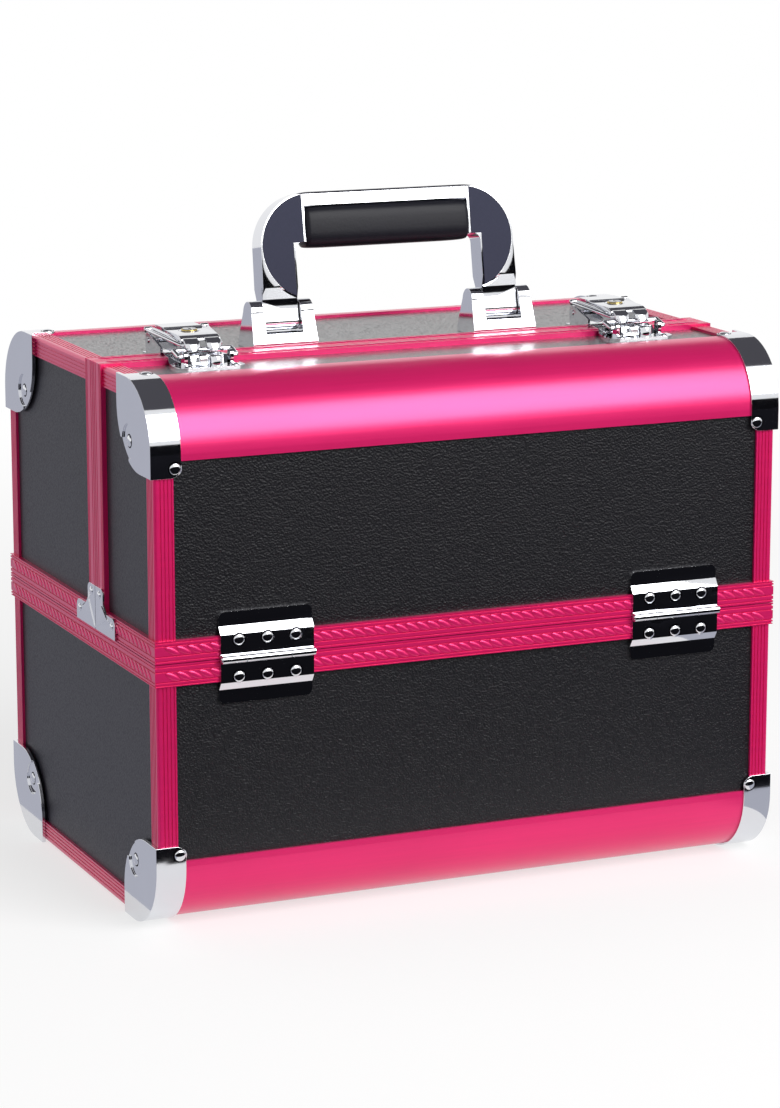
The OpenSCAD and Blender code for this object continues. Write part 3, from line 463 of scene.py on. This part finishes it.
def loft(rings, closeEnds=True):  # rings of equally many points, joined by quads
    shape = bmesh.new()
    rows = [[shape.verts.new(point) for point in ring] for ring in rings]
    for lower, upper in zip(rows, rows[1:]):
        for k in range(len(lower)):
            nextK = (k + 1) % len(lower)
            shape.faces.new((lower[k], lower[nextK], upper[nextK], upper[k]))
    if closeEnds:
        shape.faces.new(rows[0][::-1])
        shape.faces.new(rows[-1])
    bmesh.ops.recalc_face_normals(shape, faces=shape.faces)
    mesh = bpy.data.meshes.new("loft")
    shape.to_mesh(mesh)
    shape.free()
    return mesh


def roundedOutline(halfX, halfY, corner, steps=6):
    points = []
    for turnIndex, (sx, sy) in enumerate(((1, 1), (-1, 1), (-1, -1), (1, -1))):
        for k in range(steps + 1):
            angle = math.pi / 2 * (turnIndex + k / steps)
            points.append((sx * (halfX - corner) + corner * math.cos(angle),
                           sy * (halfY - corner) + corner * math.sin(angle)))
    return points


mats = {"thick": 0.0008, "crown": 0.0003, "corner": 0.004, "leastCorner": 0.0003, "clear": 0.0004,
        "sink": 0.0002, "floorThick": 0.0014, "floorCrown": 0.0006, "floorCorner": 0.006}


def matShape(low, high, thick, crown, corner):  # a soft mat: tight at its edge, fuller in its middle
    middle = [(a + b) / 2 for a, b in zip(low, high)]
    half = [(b - a) / 2 for a, b in zip(low, high)]
    stations = [(0.0004, 0.0), (0.0, 0.35 * thick), (0.00025, 0.75 * thick), (0.0008, thick),
                (0.003, thick + 0.5 * crown), (0.008, thick + 0.85 * crown), (0.016, thick + crown)]
    rings = []  # each station is how far in from the outline and how high
    for inset, rise in stations:
        outline = roundedOutline(half[0] - inset, half[1] - inset, max(corner - inset, mats["leastCorner"]))
        rings.append([(middle[0] + x, middle[1] + y, low[2] + rise) for x, y in outline])
    return loft(rings)


def joined(meshes):
    shape = bmesh.new()
    for mesh in meshes:
        shape.from_mesh(mesh)
        bpy.data.meshes.remove(mesh)
    whole = bpy.data.meshes.new("joined")
    shape.to_mesh(whole)
    shape.free()
    return whole


cells = [opening for opening in record["physics"]["openings"] if "_tray_cell_" in opening["name"]]
for tray in ("front_lower_tray", "front_upper_tray", "rear_lower_tray", "rear_upper_tray"):
    shapes = []
    for opening in cells:
        if opening["name"].startswith(tray):
            low, high = opening["box_m"]
            floorLevel = low[2] - mats["sink"]
            shapes.append(matShape((low[0] + mats["clear"], low[1] + mats["clear"], floorLevel),
                                   (high[0] - mats["clear"], high[1] - mats["clear"], floorLevel),
                                   mats["thick"], mats["crown"], mats["corner"]))
    trayMats = joined(shapes)
    smoothByAngle(trayMats, 40)
    mat = addPiece(tray + ".mats", trayMats, tray, "lining")
low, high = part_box("base_floor_pad")
floorMat = matShape(low, high, mats["floorThick"], mats["floorCrown"], mats["floorCorner"])
smoothByAngle(floorMat, 40)
addPiece("floorMat", floorMat, "base", "lining", ["base_floor_pad"])
print("mats made")

grip = {"halfLength": 0.043, "halfDepth": 0.0085, "low": 0.0342, "high": 0.0545, "lean": math.radians(10),
        "squareness": 3.4, "stations": 44, "crowding": 0.55, "around": 56, "pinch": 0.05, "pinchPower": 6,
        "endShrink": 0.16, "endRound": 0.0016, "seamAt": math.radians(118), "seamDepth": 0.0004,
        "seamWidth": 0.05}
pin = next(joint["pos_m"] for joint in record["behaviour"]["joints"] if joint["name"] == "handle_fold")


def onHandle(x, y, z):  # from the upright handle's own place at its pins to the leaning one
    return (x, pin[1] + y * math.cos(grip["lean"]) + z * math.sin(grip["lean"]),
            pin[2] + z * math.cos(grip["lean"]) - y * math.sin(grip["lean"]))


rings = []
power = 2 / grip["squareness"]
halfHigh = (grip["high"] - grip["low"]) / 2
for k in range(grip["stations"] + 1):
    along = 1 - 2 * k / grip["stations"]
    x = -grip["halfLength"] * math.copysign(abs(along) ** grip["crowding"], along)
    edgeGap = min(1.0, (grip["halfLength"] - abs(x)) / grip["endRound"])
    endShare = 1 - grip["endShrink"] * (1 - math.sqrt(1 - (1 - edgeGap) ** 2))
    share = endShare * (1 - grip["pinch"] * along ** grip["pinchPower"])
    ring = []
    for step in range(grip["around"]):
        angle = 2 * math.pi * step / grip["around"]
        c, d = math.cos(angle), math.sin(angle)
        inward = grip["seamDepth"] * math.exp(-((angle - grip["seamAt"]) / grip["seamWidth"]) ** 2)
        y = (grip["halfDepth"] - inward) * share * math.copysign(abs(d) ** power, d)
        z = (grip["high"] + grip["low"]) / 2 - (halfHigh - inward) * share * math.copysign(abs(c) ** power, c)
        ring.append(onHandle(x, y, z))
    rings.append(ring)
gripMesh = loft(rings)
smoothByAngle(gripMesh, 50)
addPiece("gripSleeve", gripMesh, "handle", "grip", ["handle_grip"])
print("grip made")

leg = {"inner": 48.9, "outer": 67.1, "outerAt": 9.0, "half": 66.5, "bow": 26.2, "bowAt": 35.0,
       "bowInset": 26.0, "low": 10.6, "high": 16.3, "front": -6.0, "back": -3.6, "chamfer": 1.2,
       "rows": 14}  # millimetres from the pins
millimetre = 0.001
covers = []
for way in (-1, 1):
    bowBottom = leg["bowAt"] - leg["bow"]
    rings = []
    for k in range(leg["rows"] + 1):
        z = leg["low"] + (leg["high"] - leg["low"]) * k / leg["rows"]
        inner = leg["inner"]
        if z > bowBottom:
            bowReach = math.sqrt(leg["bow"] ** 2 - (leg["bowAt"] - z) ** 2)
            inner = max(inner, leg["half"] - leg["bowInset"] + bowReach)
        share = (z - leg["outerAt"]) / (leg["bowAt"] - leg["outerAt"])
        outer = leg["outer"] + (leg["half"] - leg["outer"]) * share
        ring = [(inner, leg["front"]), (outer - leg["chamfer"], leg["front"]),
                (outer, leg["front"] + leg["chamfer"]), (outer, leg["back"]), (inner, leg["back"])]
        rings.append([onHandle(way * x * millimetre, y * millimetre, z * millimetre) for x, y in ring])
    covers.append(loft(rings))
legCovers = addPiece("handle_leg_covers", joined(covers), "handle", "chrome")
smoothByAngle(legCovers.data, 30)


def cut(mesh, cutter):  # a mesh with another one taken out of it
    holders = [bpy.data.objects.new("cutting", each) for each in (mesh, cutter)]
    for holder in holders:
        bpy.context.scene.collection.objects.link(holder)
    hole = holders[0].modifiers.new("hole", "BOOLEAN")
    hole.object = holders[1]
    hole.solver = "EXACT"
    evaluated = holders[0].evaluated_get(bpy.context.evaluated_depsgraph_get())
    result = bpy.data.meshes.new_from_object(evaluated)
    for holder in holders:
        holder.modifiers.clear()
        bpy.data.objects.remove(holder)
    return result


def across(section, xs):  # a side view pulled through along X
    return loft([[(x, y, z) for y, z in section] for x in xs])


def circle(x, y, radius, steps):
    angles = [2 * math.pi * k / steps for k in range(steps)]
    return [(x + radius * math.cos(angle), y + radius * math.sin(angle)) for angle in angles]


def turned(profile, x=0.0, y=0.0, steps=40):  # a closed ring or a post, spun round an upright axis
    rings = [[(a, b, z) for a, b in circle(x, y, radius, steps)] for radius, z in profile]
    return loft(rings, closeEnds=False) if profile[0] == profile[-1] else loft(rings)


def rod(path, radius, around=18):  # a round rod with domed ends along a bent line
    dome = {"reach": 0.45, "share": 0.55}
    points = [Vector(point) for point in path]
    ways = [(b - a).normalized() for a, b in zip(points, points[1:])]
    first, last = ways[0], ways[-1]
    rows = [(points[0] - first * radius * dome["reach"], first, dome["share"]), (points[0], first, 1.0)]
    rows += [(point, (before + after).normalized(), 1.0)
             for point, before, after in zip(points[1:-1], ways, ways[1:])]
    rows += [(points[-1], last, 1.0), (points[-1] + last * radius * dome["reach"], last, dome["share"])]
    rings = []
    for middle, way, share in rows:
        side = way.cross(Vector((0, 0, 1)) if abs(way.z) < 0.9 else Vector((1, 0, 0))).normalized()
        top = side.cross(way)
        rings.append([tuple(middle + (side * math.cos(2 * math.pi * k / around)
                                      + top * math.sin(2 * math.pi * k / around)) * radius * share)
                      for k in range(around)])
    return loft(rings)


def atLatch(mesh, side):  # millimetres from the seam on top of the rims become metres in place
    low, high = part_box("latch_lever_" + side)
    origin = Vector(((low[0] + high[0]) / 2, low[1] + lever["seamInset"], high[2] - lever["rimDrop"]))
    for point in mesh.vertices:
        point.co = origin + point.co * millimetre
    return mesh


lever = {"half": 9.7, "wall": 1.1, "pin": (18.5, 5.0), "pinHole": 1.36, "pinSteps": 24, "lockHole": 5.02,
         "seamInset": 0.0145, "rimDrop": 0.0115, "edge": 0.00022, "lobeWidth": (1.7, 9.0),
         "top": [(20.9, 8.4), (20.9, 11.4), (19.8, 12.3), (8.6, 12.3), (8.0, 11.5), (-8.6, 11.5),
                 (-12.4, 11.0), (-15.0, 10.0), (-15.6, 9.0), (-12.6, 9.8), (-8.6, 10.3), (19.4, 10.3),
                 (19.4, 8.4)],
         "skirt": [(20.5, 10.6), (-9.0, 10.6), (-14.2, 9.6), (-15.2, 6.0), (-9.0, 4.4), (0.5, 2.2),
                   (18.5, 2.1), (20.5, 2.95), (21.35, 5.0)],
         "lobe": [(-14.4, 10.2), (-16.6, 9.9), (-18.6, 8.9), (-20.0, 7.2), (-20.5, 5.4), (-20.2, 4.7),
                  (-19.2, 4.8), (-18.8, 6.6), (-17.0, 8.2), (-14.2, 9.0)],
         "lobeSwell": [(0.0, 0.72), (0.12, 0.9), (0.35, 1.0), (0.65, 1.0), (0.88, 0.9), (1.0, 0.72)],
         "rods": [([(15.0, 16.8, 10.3), (12.4, -4.0, 8.7), (9.9, -15.0, 7.2), (6.0, -17.8, 7.4)], 0.95),
                  ([(12.6, 15.6, 10.9), (11.0, -2.0, 9.9), (10.2, -11.0, 8.4)], 0.7)],
         "curl": ([(12.6, 17.2, 10.4), (15.6, 17.2, 10.4)], 1.5)}
lock = {"sleeve": [(3.27, 4.2), (5.0, 4.2), (5.0, 11.45), (4.75, 11.75), (4.05, 11.75), (3.27, 11.6),
                   (3.27, 4.2)],
        "ring": [(3.27, 11.55), (3.8, 11.7), (3.85, 12.0), (3.7, 12.2), (3.45, 12.25), (3.27, 12.1),
                 (3.27, 11.55)], "edge": 0.0001}
catch = {"barrel": [(0.2, -1.6), (3.3, -1.6), (3.3, 2.5), (2.9, 3.2), (2.0, 3.55), (0.2, 3.6)],
         "barrelAt": (3.6, -25.2), "bead": ([(-8.6, -26.0, 0.1), (-5.0, -26.4, 0.1)], 1.0),
         "hook": [(-24.2, -0.4), (-26.6, -0.4), (-26.7, 2.0), (-25.9, 3.3), (-24.4, 3.5), (-23.9, 2.0)],
         "hookEnds": (-4.6, -0.9), "edge": 0.0002}


def lobe(way):  # one of the two swollen lips at a lever's front, on the side that way gives
    start, stop = lever["lobeWidth"]
    root = lever["lobe"][0]
    rings = []
    for share, swell in lever["lobeSwell"]:
        x = way * (start + share * (stop - start))
        rings.append([(x, root[0] + (y - root[0]) * swell, root[1] + (z - root[1]) * swell)
                      for y, z in lever["lobe"]])
    return loft(rings)


for side in ("left", "right"):
    body = "latch_lever_" + side
    pinHole = across(circle(*lever["pin"], lever["pinHole"], lever["pinSteps"]), (-30, 30))
    lockHole = turned([(lever["lockHole"], 0.0), (lever["lockHole"], 20.0)])
    parts = [cut(across(lever["top"], (-lever["half"], lever["half"])), lockHole)]
    for way in (-1, 1):
        inner = way * (lever["half"] - lever["wall"])
        skirt = across(lever["skirt"], sorted((inner, way * lever["half"])))
        parts += [cut(skirt, pinHole.copy()), lobe(way)]
        for path, radius in lever["rods"] + [lever["curl"]]:
            parts.append(rod([(way * x, y, z) for x, y, z in path], radius))
    shell = addPiece(body + ".shell", atLatch(joined(parts), side), body, "chrome", [body])
    edged(shell, lever["edge"])
    cylinder = "lock_cylinder_" + side
    sleeve = addPiece(cylinder + ".sleeve", atLatch(turned(lock["sleeve"]), side), body, "chrome", [cylinder])
    edged(sleeve, lock["edge"])
    ring = addPiece(cylinder + ".ring", atLatch(turned(lock["ring"]), side), body, "brass")
    smoothByAngle(ring.data, 50)
    catchParts = [turned(catch["barrel"], *catch["barrelAt"]), rod(*catch["bead"]),
                  across(catch["hook"], catch["hookEnds"])]
    hook = addPiece("latch_" + side + ".catch", atLatch(joined(catchParts), side), "front_lid", "chrome")
    edged(hook, catch["edge"])
print("latches made")

for node, item in nodes.items():
    if not item.hide_render:
        smoothByAngle(item.data, 30)

view = {"azimuth": -23.645, "pitch": 12.104, "roll": -0.04, "place": (-0.6996, -1.6039, 0.5214),
        "focalPixels": 3613.6, "photoHeight": 1108, "sensor": 36.0, "farthest": 50.0}
camera = bpy.data.objects.new("camera", bpy.data.cameras.new("camera"))
bpy.context.scene.collection.objects.link(camera)
camera.data.sensor_fit = "AUTO"
camera.data.sensor_width = view["sensor"]
camera.data.lens = view["sensor"] * view["focalPixels"] / view["photoHeight"]
camera.data.clip_end = view["farthest"]
turn = Matrix.Rotation(math.radians(view["azimuth"]), 4, "Z")
tip = Matrix.Rotation(math.radians(90.0 - view["pitch"]), 4, "X")
roll = Matrix.Rotation(math.radians(view["roll"]), 4, "Z")
camera.matrix_world = Matrix.Translation(Vector(view["place"])) @ turn @ tip @ roll
bpy.context.scene.camera = camera

floor = {"half": 12.0, "bounce": 0.8, "shadowed": 0.34, "glow": 0.68, "near": 0.45, "far": 1.3}
floorMesh = bpy.data.meshes.new("floor")
floorCorners = [(x * floor["half"], y * floor["half"], 0.0) for x, y in ((-1, -1), (1, -1), (1, 1), (-1, 1))]
floorMesh.from_pydata(floorCorners, [], [(0, 1, 2, 3)])
floorPiece = bpy.data.objects.new("floor", floorMesh)
bpy.context.scene.collection.objects.link(floorPiece)
ground = Finish("paleFloor")
ground.tree.nodes.remove(ground.shader)
paths = [ground.node("ShaderNodeLightPath", output=ray)
         for ray in ("Is Camera Ray", "Is Glossy Ray", "Is Transmission Ray")]
seenRay = paths[0] + paths[1] + paths[2]
reach = ground.node("ShaderNodeVectorMath", {"operation": "LENGTH"},
                    {0: ground.node("ShaderNodeTexCoord", output="Object")}, output="Value")
away = ground.node("ShaderNodeMapRange", {"interpolation_type": "SMOOTHSTEP"},
                   {"Value": reach, "From Min": floor["near"], "From Max": floor["far"]})
white = ground.node("ShaderNodeEmission", sockets={"Color": (1, 1, 1), "Strength": 1.0})
glow = ground.node("ShaderNodeEmission", sockets={"Color": (1, 1, 1), "Strength": floor["glow"]})
shade = ground.node("ShaderNodeBsdfDiffuse", sockets={"Color": (floor["shadowed"],) * 3})
bounce = ground.node("ShaderNodeBsdfDiffuse", sockets={"Color": (floor["bounce"],) * 3})
close = ground.node("ShaderNodeAddShader", sockets={0: shade, 1: glow})
shown = ground.node("ShaderNodeMixShader", sockets={0: away, 1: close, 2: white})
ground.plug(ground.output.inputs["Surface"],
            ground.node("ShaderNodeMixShader", sockets={0: seenRay, 1: bounce, 2: shown}))
floorMesh.materials.append(ground.material)

bpy.context.scene.view_settings.view_transform = "Standard"
world = bpy.context.scene.world or bpy.data.worlds.new("studio")
bpy.context.scene.world = world
world.use_nodes = True
worldTree = world.node_tree
worldTree.nodes.clear()


def worldNode(kind, settings=None, sockets=None):
    made = worldTree.nodes.new(kind)
    for name, value in (settings or {}).items():
        setattr(made, name, value)
    for name, value in (sockets or {}).items():
        if isinstance(value, bpy.types.NodeSocket):
            worldTree.links.new(value, made.inputs[name])
        else:
            made.inputs[name].default_value = value
    return made


air = {"ambient": 0.30, "backdrop": 1.0}
rays = worldNode("ShaderNodeLightPath")
seen = worldNode("ShaderNodeMath", {"operation": "MAXIMUM"},
                 {0: rays.outputs["Is Camera Ray"], 1: rays.outputs["Is Glossy Ray"]})
seenToo = worldNode("ShaderNodeMath", {"operation": "MAXIMUM"},
                    {0: seen.outputs[0], 1: rays.outputs["Is Transmission Ray"]})
strength = worldNode("ShaderNodeMix", {"data_type": "FLOAT"},
                     {0: seenToo.outputs[0], 2: air["ambient"], 3: air["backdrop"]})
sky = worldNode("ShaderNodeBackground", sockets={"Color": (1, 1, 1, 1), "Strength": strength.outputs[0]})
worldNode("ShaderNodeOutputWorld", sockets={"Surface": sky.outputs[0]})


def addLamp(name, place, target, size, watts):
    lamp = bpy.data.lights.new(name, "AREA")
    lamp.shape = "RECTANGLE"
    lamp.size, lamp.size_y = size
    lamp.energy = watts
    holder = bpy.data.objects.new(name, lamp)
    bpy.context.scene.collection.objects.link(holder)
    holder.location = place
    holder.rotation_euler = (Vector(target) - Vector(place)).to_track_quat("-Z", "Y").to_euler()


addLamp("frontSoftbox", (0.9, -2.0, 1.66), target=(0, 0, 0.15), size=(1.9, 1.9), watts=66)
addLamp("topSoftbox", (-0.3, 0.9, 2.6), target=(0, 0, 0.2), size=(1.6, 1.2), watts=6)


def addCard(name, corners, paint):  # a card that only reflections see, as beside a camera
    mesh = bpy.data.meshes.new(name)
    mesh.from_pydata(corners, [], [(0, 1, 2, 3)])
    card = bpy.data.objects.new(name, mesh)
    bpy.context.scene.collection.objects.link(card)
    mesh.materials.append(paint)
    card.visible_camera = card.visible_diffuse = card.visible_shadow = card.visible_transmission = False


def flatCorners(left, right, front, rear, height):  # the corners of a card that lies flat
    return [(left, front, height), (right, front, height), (right, rear, height), (left, rear, height)]


def glowing(name, colour):  # gives off one even tone and reflects nothing
    return Finish(name, **{"Base Color": (0, 0, 0), "Specular IOR Level": 0.0, "Emission Color": colour,
                           "Emission Strength": 1.0}).material


cards = {"half": 3, "gap": 0.17, "rise": 0.002, "frontEdge": -0.2, "frontWall": -1.7, "rearEdge": 3,
         "wallTop": 0.42, "roof": 1.5, "roofHalf": 2, "roofFront": -0.62, "roofRear": 1.7}
greyCard = glowing("greyCard", (0.50, 0.51, 0.58))
roofCard = glowing("roofCard", (0.085, 0.083, 0.095))
darkCard = Finish("darkCard", **{"Base Color": (0.006, 0.006, 0.008), "Roughness": 1.0,
                                 "Specular IOR Level": 0.0}).material
wide, wall, rise = cards["half"], cards["frontWall"], cards["rise"]
addCard("floorCard", flatCorners(-wide, wide, wall, cards["frontEdge"], rise), darkCard)
for name, near, far in (("leftCard", -cards["gap"], -wide), ("rightCard", cards["gap"], wide)):
    addCard(name, flatCorners(near, far, cards["frontEdge"], cards["rearEdge"], rise), greyCard)
addCard("wallCard", [(-wide, wall, rise), (wide, wall, rise), (wide, wall, cards["wallTop"]),
                     (-wide, wall, cards["wallTop"])], darkCard)
addCard("roofCard", flatCorners(-cards["roofHalf"], cards["roofHalf"], cards["roofFront"],
                                cards["roofRear"], cards["roof"]), roofCard)
print("studio ready")
